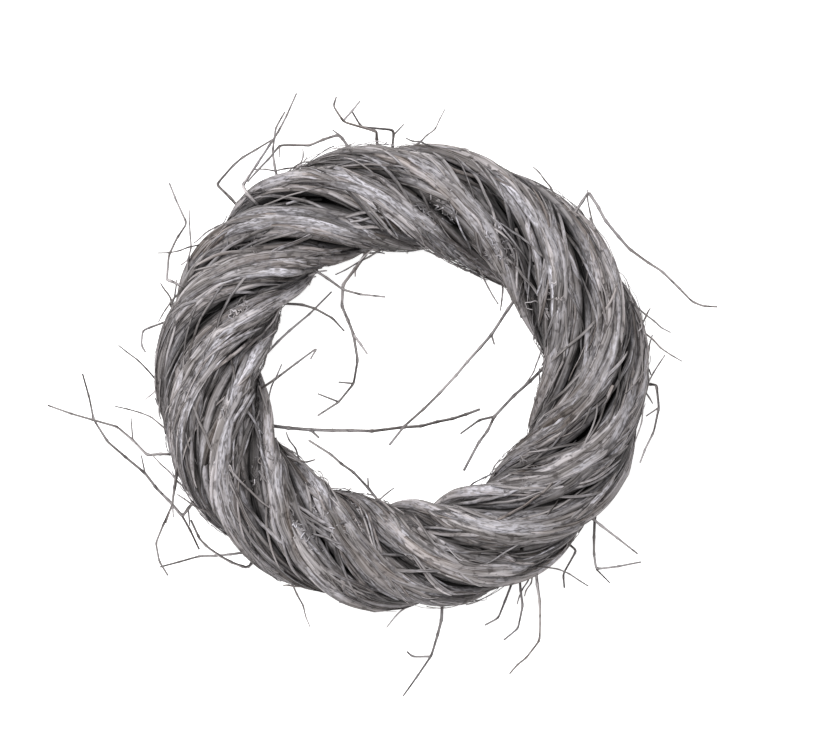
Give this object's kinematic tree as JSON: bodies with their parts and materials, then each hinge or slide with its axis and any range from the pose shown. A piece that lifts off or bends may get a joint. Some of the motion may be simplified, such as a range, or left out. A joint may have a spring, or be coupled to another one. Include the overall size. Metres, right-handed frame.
{
  "type": "wreath frame",
  "caption": "Round vine wreath frame: long woody canes coiled into a ring and wrapped helically round one another, with loose curling tendrils.",
  "frame": {"origin": "centre of the ring at the body's mid-thickness, where the centre of mass lies", "axes": "+Z along the ring's axis, out of the front face; +X to the right and +Y up when it hangs facing the viewer"},
  "size_m": [0.4129, 0.3717, 0.0617],
  "materials": {
    "outer_cane_bark": "rough grey-brown vine bark with a thin pale wash",
    "second_cane_bark": "rough grey vine bark with a thicker pale wash",
    "third_cane_bark": "rough dark brown vine bark",
    "inner_cane_bark": "dark raw vine bark, unwashed",
    "hoop_bark": "dark raw vine bark, unwashed",
    "tendril_bark": "dry brown tendril, matte"
  },
  "bodies": {
    "root": {"hoop_cane_a": "hoop_bark", "hoop_cane_b": "hoop_bark", "hoop_cane_c": "hoop_bark", "tendril_bottom_hook": "tendril_bark", "tendril_bottom_long": "tendril_bark", "tendril_bottom_right_inner": "tendril_bark", "tendril_bottom_right_outer": "tendril_bark", "tendril_hole_crossbar": "tendril_bark", "tendril_hole_diagonal": "tendril_bark", "tendril_hole_left_bar": "tendril_bark", "tendril_hole_left_bow": "tendril_bark", "tendril_hole_left_hook": "tendril_bark", "tendril_hole_lower_bar": "tendril_bark", "tendril_hole_right_bow": "tendril_bark", "tendril_hole_spiral": "tendril_bark", "tendril_hole_top_bar": "tendril_bark", "tendril_left_curl": "tendril_bark", "tendril_left_hook": "tendril_bark", "tendril_left_long": "tendril_bark", "tendril_left_upper_loop": "tendril_bark", "tendril_lower_left_bar": "tendril_bark", "tendril_lower_left_bow": "tendril_bark", "tendril_lower_left_stub": "tendril_bark", "tendril_right_arc": "tendril_bark", "tendril_right_long": "tendril_bark", "tendril_right_lower_bar": "tendril_bark", "tendril_right_lower_drop": "tendril_bark", "tendril_right_lower_fork": "tendril_bark", "tendril_top_arch": "tendril_bark", "tendril_top_bar": "tendril_bark", "tendril_top_fork": "tendril_bark", "tendril_top_left_loop": "tendril_bark", "tendril_top_left_straight": "tendril_bark", "tendril_top_left_tip": "tendril_bark", "wrap_cane_inner_1": "inner_cane_bark", "wrap_cane_inner_2": "inner_cane_bark", "wrap_cane_inner_3": "inner_cane_bark", "wrap_cane_inner_4": "inner_cane_bark", "wrap_cane_inner_5": "inner_cane_bark", "wrap_cane_outer_1": "outer_cane_bark", "wrap_cane_outer_2": "outer_cane_bark", "wrap_cane_outer_3": "outer_cane_bark", "wrap_cane_outer_4": "outer_cane_bark", "wrap_cane_outer_5": "outer_cane_bark", "wrap_cane_second_1": "second_cane_bark", "wrap_cane_second_2": "second_cane_bark", "wrap_cane_second_3": "second_cane_bark", "wrap_cane_second_4": "second_cane_bark", "wrap_cane_second_5": "second_cane_bark", "wrap_cane_third_1": "third_cane_bark", "wrap_cane_third_2": "third_cane_bark", "wrap_cane_third_3": "third_cane_bark", "wrap_cane_third_4": "third_cane_bark", "wrap_cane_third_5": "third_cane_bark"}
  },
  "joints": []
}
